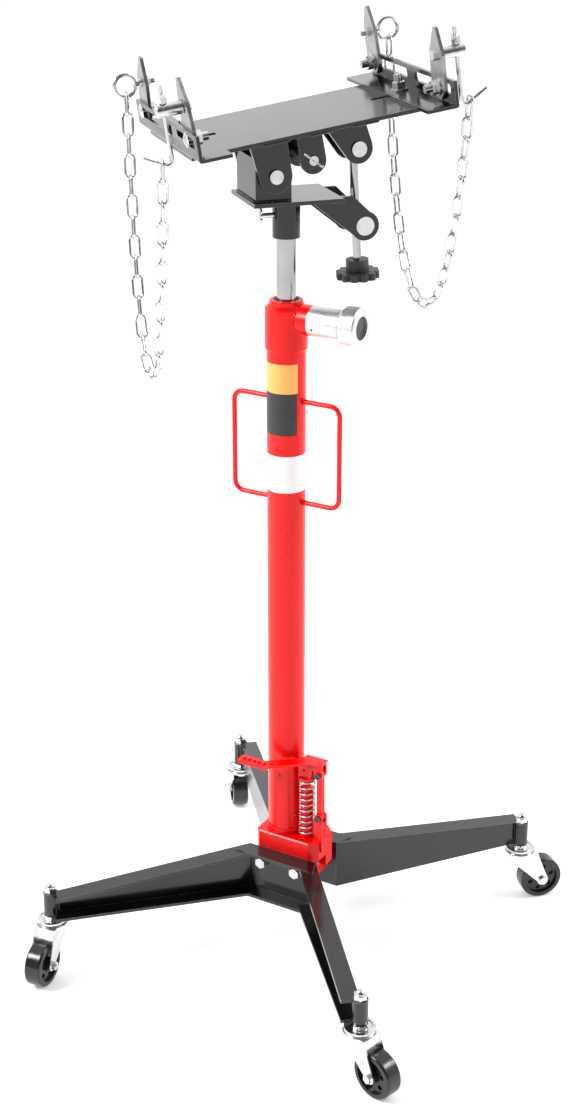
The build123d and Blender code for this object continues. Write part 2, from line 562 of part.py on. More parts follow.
for k in range(5):
    stud_x = pad[0][0] + 8 + k * 9.5
    pedal += bar(6.5, 3.4, (stud_x, (pad[0][1] + pad[9][1]) / 2, PEDAL_TOP - 0.4))
save("foot_pedal", pedal)

# ================================================================== head on the ram
tube = bar(TUBE_D, PLATE_TOP - PLATE_T - 0.1 - TUBE_LOW, (0, 0, TUBE_LOW))
tube -= bar(RAM_D + 2 * FIT, PLATE_TOP - TUBE_LOW, (0, 0, TUBE_LOW - 1))
thumb_z = TUBE_LOW + 34
tube -= bar(8.2, 40, (0, 0, thumb_z), (-1, 0, 0))
save("swivel_tube", head(tube))
thumb = bar(8, 26, (-RAM_D / 2 - 0.3, 0, thumb_z), (-1, 0, 0))
wing_at = -RAM_D / 2 - 26
thumb += bar(11, 5, (wing_at + 4, 0, thumb_z), (-1, 0, 0))
for side in (-1, 1):
    thumb += Pos(wing_at + 1, 0, thumb_z + side * 6) * Cylinder(5, 3, rotation=(0, 90, 0))
save("thumb_screw", head(thumb))

ear_in = 40.0
ear_out = 46.0
base = box(PLATE_U0, PLATE_U1, -PLATE_V, PLATE_V, PLATE_TOP - PLATE_T, PLATE_TOP)
ear_left = TILT_U - 29
ear_right = TILT_U + 26
ear_top = TILT_Z + 25
for side in (-1, 1):
    pts = [(ear_left, PLATE_TOP - 2), (ear_right, PLATE_TOP - 2), (ear_right, TILT_Z + 4),
           (ear_right - 10, ear_top), (ear_left, ear_top)]
    base += upright(pts, min(side * ear_in, side * ear_out), max(side * ear_in, side * ear_out))
base += box(ear_left, ear_left + 5, -ear_in - 1, ear_in + 1, PLATE_TOP - 2, ear_top)
arm = [(PLATE_U1 - 46, PLATE_TOP - PLATE_T), (PLATE_U1 - 46, PLATE_TOP - 1), (PLATE_U1 + 20, PLATE_TOP - 1),
       (NUT_U + 20, NUT_Z + 9), (NUT_U + 10, NUT_Z - 18), (NUT_U - 10, NUT_Z - 19)]
for side in (-1, 1):
    y0 = min(side * ARM_V, side * (ARM_V + ARM_T))
    base += upright(arm, y0, y0 + ARM_T)
    base += bar(44, ARM_T, (NUT_U, y0 + ARM_T, NUT_Z), (0, -1, 0))
base -= bar(NUT_D + 2 * FIT, 200, (NUT_U, 100, NUT_Z), (0, -1, 0))
base -= bar(TILT_PIN_D + 2 * FIT, 200, (TILT_U, 100, TILT_Z), (0, -1, 0))
save("head_plate", head(base))

tilt_pin = bar(TILT_PIN_D, 2 * 53.8 + 6, (TILT_U, 53.8 + 6, TILT_Z), (0, -1, 0))
tilt_pin += bar(20.5, 4, (TILT_U, -53.8, TILT_Z), (0, -1, 0))
tilt_pin -= bar(3.4, 60, (TILT_U, 57.3, TILT_Z - 30))
clip = bar(2.6, 29, (TILT_U, 57.3, TILT_Z - 15))
clip += Pos(TILT_U, 57.3, TILT_Z + 18) * Torus(4.5, 1.5, rotation=(90, 0, 0))
save("tilt_pin", head(tilt_pin), head(clip))


def pivot_point(u, w):
    """Position in the head of a point given from the tilt pin along the tilted saddle."""
    t = radians(SADDLE_TILT)
    return (TILT_U + u * cos(t) - w * sin(t), TILT_Z + u * sin(t) + w * cos(t))


# adjusting screw between the cross nut on the arms and the right saddle bracket
top_u, top_z = pivot_point(RIGHT_U, EAR_W)
reach = hypot(top_u - NUT_U, top_z - NUT_Z)
screw_dir = ((top_u - NUT_U) / reach, 0, (top_z - NUT_Z) / reach)


def along_screw(distance):
    """Point on the screw axis, measured up from the cross nut."""
    return (NUT_U + screw_dir[0] * distance, 0, NUT_Z + screw_dir[2] * distance)


cross_nut = bar(NUT_D, 2 * (ARM_V + ARM_T) + 3, (NUT_U, ARM_V + ARM_T + 1.5, NUT_Z), (0, -1, 0))
cross_nut -= bar(SCREW_D + 2 * FIT, 80, along_screw(-40), screw_dir)
save("cross_nut", head(cross_nut))
block_r = 13.0
swivel = bar(2 * block_r, 38, (top_u, 19, top_z), (0, -1, 0))
swivel -= bar(9 + 2 * FIT, 80, along_screw(reach - 40), screw_dir)
swivel -= bar(SCREW_D + 1, 40, along_screw(reach - 10.0 - 40), screw_dir)
swivel -= bar(16, 20, along_screw(reach + 7.0), screw_dir)
swivel_pin = bar(14, 10, (top_u, 29.0, top_z), (0, -1, 0))
swivel_pin += bar(14, 10, (top_u, -19.0, top_z), (0, -1, 0))
swivel += swivel_pin
for side in (-1, 1):
    swivel += bar(23, 3, (top_u, side * 26.6, top_z), (0, side, 0))
save("screw_swivel", head(swivel))
screw_low = (SCREW_LOW - NUT_Z) / screw_dir[2]
screw = bar(SCREW_D, reach - 10.5 - screw_low - 16, along_screw(screw_low + 16), screw_dir)
screw += bar(10, 19, along_screw(screw_low - 1), screw_dir)
screw += bar(9, 18.5, along_screw(reach - 11.0), screw_dir)
screw += bar(14.5, 2.5, along_screw(reach + 7.2), screw_dir)
save("adjusting_screw", head(screw))
hub = bar(KNOB_HUB_D, 18, along_screw(screw_low + 10), screw_dir)
hub += bar(LOBE_D - 9, 11, along_screw(screw_low - 1), screw_dir)
knob_plane = Plane(origin=along_screw(screw_low - 1), x_dir=(0, 1, 0), z_dir=screw_dir).location
for k in range(12):
    ang = 2 * pi * k / 12
    lobe = Pos((LOBE_D / 2 - 6.5) * cos(ang), (LOBE_D / 2 - 6.5) * sin(ang), 0)
    hub += knob_plane * (lobe * Cylinder(6.5, 11, align=(C, C, LO)))
hub -= bar(10.1, 60, along_screw(screw_low - 30), screw_dir)
hub -= bar(SCREW_D + 0.2, 60, along_screw(screw_low + 15.9), screw_dir)
end_cap = bar(16, 3, along_screw(screw_low - 4.1), screw_dir)
save("hand_knob", head(hub), head(end_cap))

# ================================================================== tilting saddle
under = RISE - SADDLE_T
rail = under - SADDLE_T
frame = box(-36, 154, -PLATE_V, PLATE_V, rail, under)
left_ear = [(-33, rail + 1), (24, rail + 1), (25, 0), (0, -25), (-25, 0)]
mid_ear = [(MID_U - 18, rail + 1), (MID_U + 18, rail + 1), (MID_U + 20, EAR_W), (MID_U, EAR_W - 20),
           (MID_U - 20, EAR_W)]
right_ear = [(RIGHT_U - 52, rail + 1), (RIGHT_U + 13, rail + 1), (RIGHT_U + 22, EAR_W + 4),
             (RIGHT_U, EAR_W - 22), (RIGHT_U - 20, EAR_W - 9)]
for side in (-1, 1):
    for outline, centre, r, y0 in ((left_ear, (0, 0), 25, 47.4), (mid_ear, (MID_U, EAR_W), 20, 29.0),
                                   (right_ear, (RIGHT_U, EAR_W), 22, 19.6)):
        low = min(side * y0, side * (y0 + 6))
        frame += upright(outline, low, low + 6)
        frame += bar(2 * r, 6, (centre[0], low + 6, centre[1]), (0, -1, 0))
frame -= bar(TILT_PIN_D + 2 * FIT, 200, (0, 100, 0), (0, -1, 0))
frame -= bar(14 + 2 * FIT, 200, (MID_U, 100, EAR_W), (0, -1, 0))
# the right hole is a short slot: it carries the swivel block as the saddle tilts
for shift in (-2.4, 0, 2.4):
    frame -= bar(14.8, 200, (RIGHT_U + shift, 100, EAR_W), (0, -1, 0))
frame -= box(RIGHT_U - 2.4, RIGHT_U + 2.4, -100, 100, EAR_W - 7.4, EAR_W + 7.4)
save("saddle_frame", saddle(frame))

mid_pin = bar(14, 76, (MID_U, 38, EAR_W), (0, -1, 0))
mid_pin += bar(18, 3, (MID_U, 38.1, EAR_W), (0, -1, 0))
mid_pin -= bar(3.4, 60, (MID_U - 25, -36.6, EAR_W + 25), (1, 0, -1))
cotter = bar(1.5, 36, (MID_U - 13.2, -36.6, EAR_W + 11.8), (1, 0, -1))
cotter += bar(1.5, 36, (MID_U - 11.8, -36.6, EAR_W + 13.2), (1, 0, -1))
cotter += bar(2.9, 3, (MID_U - 13.5, -36.6, EAR_W + 13.5), (1, 0, -1))
save("middle_pin", saddle(mid_pin), saddle(cotter))

top_plate = box(SADDLE_U0, SADDLE_U1, -SADDLE_V, SADDLE_V, under + 0.05, RISE)
foot_bolt = {"left": SADDLE_U0 + 23.0, "right": SADDLE_U1 - 23.0}
slot_in = {"left": foot_bolt["left"] + 46, "right": foot_bolt["right"] - 46}
for end in ("left", "right"):
    a, b = sorted((foot_bolt[end] + (-8 if end == "left" else 8), slot_in[end]))
    top_plate -= box(a, b, -7, 7, under - 1, RISE + 1)
save("saddle_plate", saddle(top_plate))

chain_ends = {}
for end, out in (("left", -1), ("right", 1)):
    edge = SADDLE_U0 - 2.5 if end == "left" else SADDLE_U1 + 2.5
    inner = edge - out * BRACKET_FOOT
    a, b = sorted((edge, inner))
    bracket = box(a, b, -BRACKET_V, BRACKET_V, RISE + 0.1, RISE + BRACKET_T)
    a, b = sorted((edge, edge - out * BRACKET_T))
    bracket += box(a, b, -BRACKET_V, BRACKET_V, RISE + 0.1, RISE + BRACKET_H)
    bracket = fillet(bracket.edges().filter_by(Axis.Y).filter_by(
        lambda e: abs(e.center().X - edge) < 0.1 and e.center().Z < RISE + 1), 4.0)
    for side in (-1, 1):
        y0, y1 = sorted((side * SLOT_V0, side * SLOT_V1))
        z0 = RISE + SLOT_W - SLOT_H / 2
        bracket -= box(edge - 8, edge + 8, y0 + 5, y1 - 5, z0, z0 + SLOT_H)
        bracket -= box(edge - 8, edge + 8, y0, y1, z0 + 5, z0 + SLOT_H - 5)
        for y in (y0 + 5, y1 - 5):
            for z in (z0 + 5, z0 + SLOT_H - 5):
                bracket -= bar(10, 16, (edge - 8, y, z), (1, 0, 0))
    bracket -= bar(BOLT_D + 0.6, 20, (foot_bolt[end], 0, RISE - 5))
    save(f"end_bracket_{end}", saddle(bracket))
    clamp = bar(BOLT_D, SADDLE_T + BRACKET_T + 24, (foot_bolt[end], 0, under - 0.1))
    clamp += hexbar(18, 7, (foot_bolt[end], 0, under - 7.1))
    washer = bar(26, 2.4, (foot_bolt[end], 0, RISE + BRACKET_T + 0.1))
    washer -= bar(BOLT_D + 0.3, 9, (foot_bolt[end], 0, RISE))
    clamp_nut = hexbar(18, 10, (foot_bolt[end], 0, RISE + BRACKET_T + 2.7))
    clamp_nut -= bar(BOLT_D + 0.1, 30, (foot_bolt[end], 0, RISE))
    save(f"bracket_bolt_{end}", saddle(clamp), saddle(washer), saddle(clamp_nut))
    face = edge - out * BRACKET_T
    inward = (-out, 0, 0)
    outward = (out, 0, 0)
    for where in ("back", "front"):
        name = f"{end}_{where}"
        side, v0, lean = FINGERS[name]
        t = radians(lean)
        pts = [(-8, -17), (8, -17), (24, -2), (23, 48), (4, FINGER_H), (-4, FINGER_H), (-23, 48), (-24, -2)]
        turned = [(v0 + x * cos(t) - y * sin(t), RISE + SLOT_W + x * sin(t) + y * cos(t)) for x, y in pts]
        eye_v = v0 - FINGER_EYE * sin(t)
        eye_w = RISE + SLOT_W + FINGER_EYE * cos(t)
        finger = prism(turned, FINGER_T, (face - out * 0.1, 0, 0), (0, 1, 0), (1, 0, 0))
        if out > 0:
            finger = Pos(-FINGER_T, 0, 0) * finger
        a = (face, v0, RISE + SLOT_W)
        finger -= bar(BOLT_D + 0.3, 40, (face - 20, v0, RISE + SLOT_W), (1, 0, 0))
        finger -= bar(8.3, 40, (face - 20, eye_v, eye_w), (1, 0, 0))
        save(f"finger_{name}", saddle(finger))
        skin = edge + out * 0.1
        carriage = Plane(origin=(skin, v0, RISE + SLOT_W), z_dir=outward).location * Sphere(17)
        carriage = Pos(-out * 13.0, 0, 0) * carriage
        carriage &= bar(40, 40, (skin, v0, RISE + SLOT_W), outward)
        carriage += bar(BOLT_D, BRACKET_T + FINGER_T + 22, (skin + out * 1.0, v0, RISE + SLOT_W), inward)
        inner_face = face - out * (FINGER_T + 0.2)
        ring = bar(24, 2.0, (inner_face, v0, RISE + SLOT_W), inward)
        ring -= bar(BOLT_D + 0.3, 9, (inner_face + out, v0, RISE + SLOT_W), inward)
        wing = hexbar(18, 9, (inner_face - out * 2.2, v0, RISE + SLOT_W), inward)
        wing -= bar(BOLT_D + 0.1, 20, (inner_face, v0, RISE + SLOT_W), inward)
        fixing = [saddle(carriage), saddle(ring), saddle(wing)]
        outer_face = face
        if where == "back":
            ring_u = outer_face + out * (EYE_R + EYE_WIRE / 2 + EYE_STAND)
            eye = Pos(ring_u, eye_v, eye_w) * Torus(EYE_R, EYE_WIRE / 2, rotation=(90, 0, 0))
            eye += bar(13, 3.0, (outer_face + out * 0.2, eye_v, eye_w), outward)
            eye += bar(8, EYE_STAND + EYE_WIRE / 2, (outer_face + out * 0.2, eye_v, eye_w), outward)
            eye += bar(8, FINGER_T + 15, (outer_face + out * 1.0, eye_v, eye_w), inward)
            eye_nut = hexbar(13, 7, (inner_face, eye_v, eye_w), inward)
            eye_nut -= bar(8.1, 20, (inner_face + out, eye_v, eye_w), inward)
            save(f"eye_bolt_{end}", saddle(eye), saddle(eye_nut), *fixing)
            chain_ends[(end, 0)] = (ring_u, eye_v, eye_w - EYE_R + EYE_WIRE / 2 + 0.5)
        else:
            rest = bar(BAR_D, BAR_L, (outer_face + out * 0.2, eye_v, eye_w), outward)
            rest = chamfer(rest.edges().filter_by(GeomType.CIRCLE), 1.0)
            rod_u = outer_face + out * (BAR_L - 11)
            rest -= bar(ROD_D + 0.3, 60, (rod_u, eye_v, eye_w - 30))
            rest -= bar(8.1, 15, (outer_face, eye_v, eye_w), outward)
            stud = bar(8, FINGER_T + 16, (outer_face + out * 14, eye_v, eye_w), inward)
            stud += hexbar(13, 6, (inner_face, eye_v, eye_w), inward)
            low = RISE - 20 + 8
            high = eye_w + 34
            bend = FilletPolyline((rod_u, eye_v, high), (rod_u, eye_v, low),
                                  (rod_u + out * 40, eye_v, low + 40 * HOOK_RISE), radius=7)
            hook = sweep(Plane(origin=(rod_u, eye_v, high), z_dir=(0, 0, -1)) * Circle(ROD_D / 2), bend)
            top_nut = hexbar(11, 7, (rod_u, eye_v, eye_w + BAR_D / 2 + 0.4))
            for s in (-1, 1):
                top_nut += box(rod_u - 1.5, rod_u + 1.5, eye_v + s * 9 - 5, eye_v + s * 9 + 5,
                               eye_w + BAR_D / 2 + 2, eye_w + BAR_D / 2 + 13)
            top_nut -= bar(ROD_D + 0.1, 60, (rod_u, eye_v, eye_w - 5))
            save(f"tension_hook_{end}", saddle(rest), saddle(stud), saddle(hook), saddle(top_nut), *fixing)
            slope = atan(HOOK_RISE)
            lift = ROD_D / 2 / cos(slope) + CHAIN_WIRE / 2 * tan(slope + out * radians(SADDLE_TILT)) + 0.2
            chain_ends[(end, 1)] = (rod_u + out * 14, eye_v, low + 14 * HOOK_RISE + lift)


# ================================================================== chains
def hang(span, drop, count, pitch):
    """Nodes of a chain of rigid links hanging between two points a span apart."""
    def ends(k0, pull):
        x = z = 0.0
        for k in range(count):
            slope = (k + 0.5 - k0) * pull
            step = pitch / sqrt(1 + slope * slope)
            x += step
            z += step * slope
        return x, z

    def centre(pull):
        lo, hi = 0.0, float(count)
        for _ in range(60):
            mid = (lo + hi) / 2
            if ends(mid, pull)[1] > drop:
                lo = mid
            else:
                hi = mid
        return (lo + hi) / 2

    lo, hi = 1e-4, 50.0
    for _ in range(80):
        pull = sqrt(lo * hi)
        if ends(centre(pull), pull)[0] > span:
            lo = pull
        else:
            hi = pull
    k0 = centre(pull)
    nodes = [(0.0, 0.0)]
    for k in range(count):
        slope = (k + 0.5 - k0) * pull
        step = pitch / sqrt(1 + slope * slope)
        nodes.append((nodes[-1][0] + step, nodes[-1][1] + step * slope))
    return nodes


def world(point):
    """A point given from the tilt pin in the saddle, in the frame of the whole jack."""
    u, v, w = point
    pu, pz = pivot_point(u, w)
    t = radians(HEAD_TURN)
    return Vector(pu * cos(t) - v * sin(t), pu * sin(t) + v * cos(t), pz)


inner = CHAIN_PITCH + 0.45
arc = (CHAIN_WIDTH - CHAIN_WIRE) / 2
half_leg = inner / 2 + CHAIN_WIRE / 2 - arc
loop = Line((-half_leg, arc), (half_leg, arc))
loop += ThreePointArc((half_leg, arc), (half_leg + arc, 0), (half_leg, -arc))
loop += Line((half_leg, -arc), (-half_leg, -arc))
loop += ThreePointArc((-half_leg, -arc), (-half_leg - arc, 0), (-half_leg, arc))
section = Plane(origin=(-half_leg, arc, 0), z_dir=(1, 0, 0)) * Circle(CHAIN_WIRE / 2)
link = sweep(section, path=loop)
for end in ("left", "right"):
    p0 = world(chain_ends[(end, 0)])
    p1 = world(chain_ends[(end, 1)])
    level = Vector(p1.X - p0.X, p1.Y - p0.Y, 0)
    span = level.length
    level = level.normalized()
    across = Vector(0, 0, 1).cross(level)
    nodes = hang(span, p1.Z - p0.Z, CHAIN_LINKS[end], CHAIN_PITCH)
    pieces = []
    for k in range(CHAIN_LINKS[end]):
        (s0, h0), (s1, h1) = nodes[k], nodes[k + 1]
        mid = p0 + level * ((s0 + s1) / 2) + Vector(0, 0, (h0 + h1) / 2)
        direction = (level * (s1 - s0) + Vector(0, 0, h1 - h0)).normalized()
        normal = across if k % 2 == 0 else across.cross(direction)
        pieces.append(Plane(origin=mid, x_dir=direction, z_dir=normal).location * link)
    save(f"chain_{end}", *pieces)
    lowest = p0.Z + min(h for s, h in nodes)
    print(end, "chain hook ends", [round(c, 1) for c in (*p0, *p1)], "lowest", round(lowest, 1))
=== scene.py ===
# %% [markdown]
# # A hydraulic transmission jack
# A workshop jack that lifts a gearbox to a car on a ramp: four legs on casters, a red
# hydraulic mast, a foot pump, and a black tilting saddle with fingers and chains.
# The hard parts come ready made as a fixed frame. This lesson gives each of them its
# finish, adds the welds, labels and plugs that the frame leaves out, and lights it all.

# %% Load the fixed frame
import math
import random

import bmesh
import bpy
from mathutils import Matrix, Vector


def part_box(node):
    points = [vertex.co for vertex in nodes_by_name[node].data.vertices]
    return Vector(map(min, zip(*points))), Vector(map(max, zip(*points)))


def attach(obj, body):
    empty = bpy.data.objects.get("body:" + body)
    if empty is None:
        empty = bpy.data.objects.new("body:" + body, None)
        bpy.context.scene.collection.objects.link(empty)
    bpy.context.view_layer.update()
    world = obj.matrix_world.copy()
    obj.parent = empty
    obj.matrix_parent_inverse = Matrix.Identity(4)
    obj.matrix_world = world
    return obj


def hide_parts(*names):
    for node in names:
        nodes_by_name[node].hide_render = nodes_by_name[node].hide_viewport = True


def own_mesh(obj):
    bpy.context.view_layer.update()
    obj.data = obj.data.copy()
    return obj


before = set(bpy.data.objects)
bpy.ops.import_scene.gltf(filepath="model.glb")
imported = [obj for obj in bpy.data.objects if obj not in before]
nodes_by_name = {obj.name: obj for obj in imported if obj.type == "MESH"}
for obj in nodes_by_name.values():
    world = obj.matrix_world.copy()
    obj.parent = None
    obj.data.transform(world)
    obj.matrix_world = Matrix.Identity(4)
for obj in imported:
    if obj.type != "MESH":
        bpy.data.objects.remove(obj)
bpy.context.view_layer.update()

# %% [markdown]
# ## Camera
# The camera stands in front of the jack at chest height and looks down a little, so the
# mast stays nearly upright in the picture and the top of the saddle still shows.
# A long lens keeps the proportions of the tall mast natural.

# %% Camera
CAMERA_AT = Vector((1.3932, -2.3791, 1.8582))
CAMERA_TURN = math.radians(30.3)
CAMERA_PITCH = math.radians(22.8)
LENS = 60.09
camera_data = bpy.data.cameras.new("camera")
camera_data.sensor_width = 36.0
camera_data.lens = LENS
camera = bpy.data.objects.new("camera", camera_data)
camera.location = CAMERA_AT
camera.rotation_euler = (math.pi / 2 - CAMERA_PITCH, 0, CAMERA_TURN)
bpy.context.scene.collection.objects.link(camera)
bpy.context.scene.camera = camera
print("camera lens", LENS, "height", round(CAMERA_AT.z, 2))

# %% [markdown]
# ## Floor and light
# A product like this is shown on a seamless pale floor under very soft light. One large
# plane is the floor, and it reaches so far that it is the background as well. The sky is
# plain and white where it is seen directly. What the metal and the black paint reflect
# is darker in front of the jack than behind it, as in a studio where the room beyond the
# lamps is dark, so upright faces stay black and the flat top of the saddle shines.

# %% Floor
FLOOR_HALF = 60.0
FLOOR_GLOW = 0.22
floor_mesh = bpy.data.meshes.new("floor")
corners = [(-FLOOR_HALF, -FLOOR_HALF, 0), (FLOOR_HALF, -FLOOR_HALF, 0),
           (FLOOR_HALF, FLOOR_HALF, 0), (-FLOOR_HALF, FLOOR_HALF, 0)]
floor_mesh.from_pydata(corners, [], [(0, 1, 2, 3)])
floor = bpy.data.objects.new("floor", floor_mesh)
bpy.context.scene.collection.objects.link(floor)
floor_paint = bpy.data.materials.new("floor_paper")
floor_paint.use_nodes = True
floor_shader = floor_paint.node_tree.nodes["Principled BSDF"]
floor_shader.inputs["Base Color"].default_value = (0.93, 0.93, 0.925, 1)
floor_shader.inputs["Roughness"].default_value = 0.75
floor_shader.inputs["Specular IOR Level"].default_value = 0.15
floor_shader.inputs["Emission Color"].default_value = (1.0, 1.0, 1.0, 1)
floor_shader.inputs["Emission Strength"].default_value = FLOOR_GLOW
floor_mesh.materials.append(floor_paint)
print("floor", FLOOR_HALF * 2, "m")

# %% Sky and lights
DARK_SIDE = (0.495, -0.846, 0.2)
DARK_ROOM = (0.10, 0.10, 0.105, 1)
SKY_STRENGTH = 1.08
EXPOSURE = 0.22
world = bpy.data.worlds.new("studio")
bpy.context.scene.world = world
world.use_nodes = True
sky = world.node_tree
sky_colour = sky.nodes["Background"]
sky_where = sky.nodes.new("ShaderNodeTexCoord")
sky_side = sky.nodes.new("ShaderNodeVectorMath")
sky_side.operation = "DOT_PRODUCT"
sky_side.inputs[1].default_value = DARK_SIDE
sky_ramp = sky.nodes.new("ShaderNodeValToRGB")
sky_ramp.color_ramp.elements[0].position = 0.10
sky_ramp.color_ramp.elements[0].color = (1.0, 1.0, 1.0, 1)
sky_ramp.color_ramp.elements[1].position = 0.75
sky_ramp.color_ramp.elements[1].color = DARK_ROOM
sky_seen = sky.nodes.new("ShaderNodeLightPath")
sky_pick = sky.nodes.new("ShaderNodeMix")
sky_pick.data_type = "RGBA"
sky.links.new(sky_where.outputs["Generated"], sky_side.inputs[0])
sky.links.new(sky_side.outputs["Value"], sky_ramp.inputs["Fac"])
sky.links.new(sky_seen.outputs["Is Camera Ray"], sky_pick.inputs["Factor"])
sky.links.new(sky_ramp.outputs["Color"], sky_pick.inputs[6])
sky_pick.inputs[7].default_value = (1.0, 1.0, 1.0, 1)
sky.links.new(sky_pick.outputs[2], sky_colour.inputs["Color"])
sky_colour.inputs["Strength"].default_value = SKY_STRENGTH


def soft_light(name, at, aim, size, watts):
    """Adds a square soft box that looks at a point."""
    data = bpy.data.lights.new(name, "AREA")
    data.size = size
    data.energy = watts
    lamp = bpy.data.objects.new(name, data)
    lamp.location = at
    lamp.rotation_mode = "QUATERNION"
    lamp.rotation_quaternion = (Vector(aim) - Vector(at)).to_track_quat("-Z", "Y")
    bpy.context.scene.collection.objects.link(lamp)
    return lamp


soft_light("key_light", (-2.2, -2.6, 3.2), (0, 0, 0.8), 1.3, 135)
soft_light("rim_light", (2.6, 1.4, 2.4), (0, 0, 1.0), 0.9, 40)
bpy.context.scene.view_settings.view_transform = "Standard"
bpy.context.scene.view_settings.exposure = EXPOSURE
print("lights", 2, "sky strength", sky_colour.inputs["Strength"].default_value)

# %% [markdown]
# ## Shared effects
# Real paint and plating are never one flat colour. Three small node groups hold what the
# finishes share: a cloudy variation, the fine ripple of sprayed paint, and a mask that
# finds the edges of a part, where handling rubs the finish first. Each is built once
# and placed in every material with its own values.

# %% Node group helper
def new_group(name, inputs, outputs):
    """Makes a shader node group with named value inputs and named outputs."""
    tree = bpy.data.node_groups.new(name, "ShaderNodeTree")
    for label, value in inputs:
        socket = tree.interface.new_socket(label, in_out="INPUT", socket_type="NodeSocketFloat")
        socket.default_value = value
    for label in outputs:
        tree.interface.new_socket(label, in_out="OUTPUT", socket_type="NodeSocketFloat")
    return tree, tree.nodes.new("NodeGroupInput"), tree.nodes.new("NodeGroupOutput")


def math_node(tree, operation, a, b=None):
    """Adds a Math node; each side is a number or another node's output."""
    node = tree.nodes.new("ShaderNodeMath")
    node.operation = operation
    for slot_index, value in enumerate((a, b)):
        if value is None:
            continue
        if isinstance(value, (int, float)):
            node.inputs[slot_index].default_value = value
        else:
            tree.links.new(value, node.inputs[slot_index])
    return node.outputs[0]


# %% Cloudy variation
clouds, clouds_in, clouds_out = new_group("cloudy_variation", [("Scale", 20.0), ("Contrast", 1.0)], ["Mask"])
cloud_where = clouds.nodes.new("ShaderNodeTexCoord")
cloud_noise = clouds.nodes.new("ShaderNodeTexNoise")
cloud_noise.inputs["Detail"].default_value = 4.0
clouds.links.new(cloud_where.outputs["Object"], cloud_noise.inputs["Vector"])
clouds.links.new(clouds_in.outputs["Scale"], cloud_noise.inputs["Scale"])
centred = math_node(clouds, "SUBTRACT", cloud_noise.outputs["Fac"], 0.5)
spread = math_node(clouds, "MULTIPLY", centred, clouds_in.outputs["Contrast"])
shifted = math_node(clouds, "ADD", spread, 0.5)
clouds.links.new(shifted, clouds_out.inputs["Mask"])
print("group", clouds.name)

# %% Paint ripple
ripple, ripple_in, ripple_out = new_group("paint_ripple", [("Scale", 350.0), ("Grit", 0.15)], ["Height"])
ripple_where = ripple.nodes.new("ShaderNodeTexCoord")
ripple_wide = ripple.nodes.new("ShaderNodeTexNoise")
ripple_fine = ripple.nodes.new("ShaderNodeTexNoise")
fine_scale = math_node(ripple, "MULTIPLY", ripple_in.outputs["Scale"], 6.0)
for noise, scale in ((ripple_wide, ripple_in.outputs["Scale"]), (ripple_fine, fine_scale)):
    noise.inputs["Detail"].default_value = 2.0
    ripple.links.new(ripple_where.outputs["Object"], noise.inputs["Vector"])
    ripple.links.new(scale, noise.inputs["Scale"])
gritty = math_node(ripple, "MULTIPLY", ripple_fine.outputs["Fac"], ripple_in.outputs["Grit"])
ripple_sum = math_node(ripple, "ADD", ripple_wide.outputs["Fac"], gritty)
ripple.links.new(ripple_sum, ripple_out.inputs["Height"])
print("group", ripple.name)

# %% Edge mask
edges, edges_in, edges_out = new_group("edge_mask", [("Radius", 0.0015), ("Strength", 1.0)], ["Mask"])
edge_round = edges.nodes.new("ShaderNodeBevel")
edge_round.samples = 4
edge_plain = edges.nodes.new("ShaderNodeNewGeometry")
edge_dot = edges.nodes.new("ShaderNodeVectorMath")
edge_dot.operation = "DOT_PRODUCT"
edge_where = edges.nodes.new("ShaderNodeTexCoord")
edge_noise = edges.nodes.new("ShaderNodeTexNoise")
edge_noise.inputs["Scale"].default_value = 90.0
edge_noise.inputs["Detail"].default_value = 5.0
edges.links.new(edges_in.outputs["Radius"], edge_round.inputs["Radius"])
edges.links.new(edge_round.outputs["Normal"], edge_dot.inputs[0])
edges.links.new(edge_plain.outputs["Normal"], edge_dot.inputs[1])
edges.links.new(edge_where.outputs["Object"], edge_noise.inputs["Vector"])
bend = math_node(edges, "SUBTRACT", 1.0, edge_dot.outputs["Value"])
bend_strong = math_node(edges, "MULTIPLY", bend, 7.0)
broken = math_node(edges, "SUBTRACT", edge_noise.outputs["Fac"], 0.34)
broken_strong = math_node(edges, "MULTIPLY", broken, 4.0)
edge_raw = math_node(edges, "MULTIPLY", bend_strong, broken_strong)
edge_scaled = math_node(edges, "MULTIPLY", edge_raw, edges_in.outputs["Strength"])
edge_low = math_node(edges, "MAXIMUM", edge_scaled, 0.0)
edge_high = math_node(edges, "MINIMUM", edge_low, 1.0)
edges.links.new(edge_high, edges_out.inputs["Mask"])
print("group", edges.name)

# %% Fine marks
marks, marks_in, marks_out = new_group("fine_marks", [("Across", 900.0), ("Along", 20.0)], ["Height"])
marks_where = marks.nodes.new("ShaderNodeTexCoord")
marks_split = marks.nodes.new("ShaderNodeSeparateXYZ")
marks_join = marks.nodes.new("ShaderNodeCombineXYZ")
marks_noise = marks.nodes.new("ShaderNodeTexNoise")
marks_noise.inputs["Scale"].default_value = 1.0
marks_noise.inputs["Detail"].default_value = 3.0
marks.links.new(marks_where.outputs["Object"], marks_split.inputs[0])
for axis_name, rate in (("X", "Along"), ("Y", "Along"), ("Z", "Across")):
    stretched = math_node(marks, "MULTIPLY", marks_split.outputs[axis_name], marks_in.outputs[rate])
    marks.links.new(stretched, marks_join.inputs[axis_name])
marks.links.new(marks_join.outputs[0], marks_noise.inputs["Vector"])
marks.links.new(marks_noise.outputs["Fac"], marks_out.inputs["Height"])
print("group", marks.name)

# %% [markdown]
# ## Paint
# The mast, the pump and the handles are sprayed in bright gloss red. The legs and the
# saddle are satin black. Both are a coloured base under a clear coat, with a slow change of
# shade, a faint ripple in the surface, and a thin line of wear along the corners.

# %% Material helpers
def new_material(name):
    """Makes a node material and returns it with its tree and its shader."""
    made = bpy.data.materials.new(name)
    made.use_nodes = True
    return made, made.node_tree, made.node_tree.nodes["Principled BSDF"]


